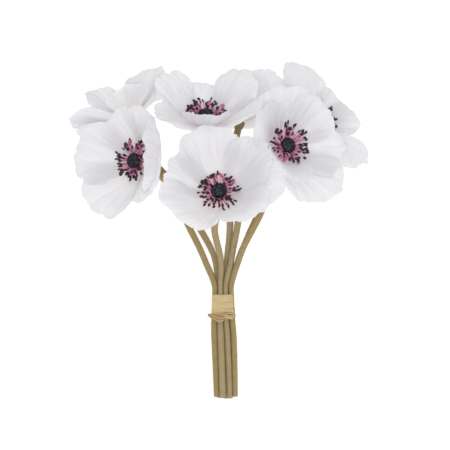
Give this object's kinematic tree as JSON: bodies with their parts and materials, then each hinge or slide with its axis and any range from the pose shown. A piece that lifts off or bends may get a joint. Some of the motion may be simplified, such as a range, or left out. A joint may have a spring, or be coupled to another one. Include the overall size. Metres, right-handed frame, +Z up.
{
  "type": "poppy bouquet",
  "caption": "Bunch of white poppy anemones with dark centres, tied round the stems with a paper ribbon and laid down as table decoration.",
  "frame": {"origin": "middle of the bounding box's foot, on the surface that the bunch lies on", "axes": "+Y runs along the surface from the cut ends of the stems to the blooms, +X runs to the right as the picture is seen, and +Z runs up out of the surface"},
  "size_m": [0.2424, 0.2615, 0.1388],
  "materials": {
    "stems": "matte",
    "petals": "matte",
    "stamens": "matte",
    "bosses": "matte",
    "tie": "matte"
  },
  "bodies": {
    "root": {"stem_front": "stems", "stem_left": "stems", "stem_top": "stems", "stem_right": "stems", "stem_rear_left": "stems", "stem_rear_middle": "stems", "stem_rear_right": "stems", "petals_front": "petals", "petals_left": "petals", "petals_top": "petals", "petals_right": "petals", "petals_rear_left": "petals", "petals_rear_middle": "petals", "petals_rear_right": "petals", "stamens_front": "stamens", "stamens_left": "stamens", "stamens_top": "stamens", "stamens_right": "stamens", "stamens_rear_left": "stamens", "stamens_rear_middle": "stamens", "stamens_rear_right": "stamens", "boss_front": "bosses", "boss_left": "bosses", "boss_top": "bosses", "boss_right": "bosses", "boss_rear_left": "bosses", "boss_rear_middle": "bosses", "boss_rear_right": "bosses", "tie": "tie"}
  },
  "joints": []
}
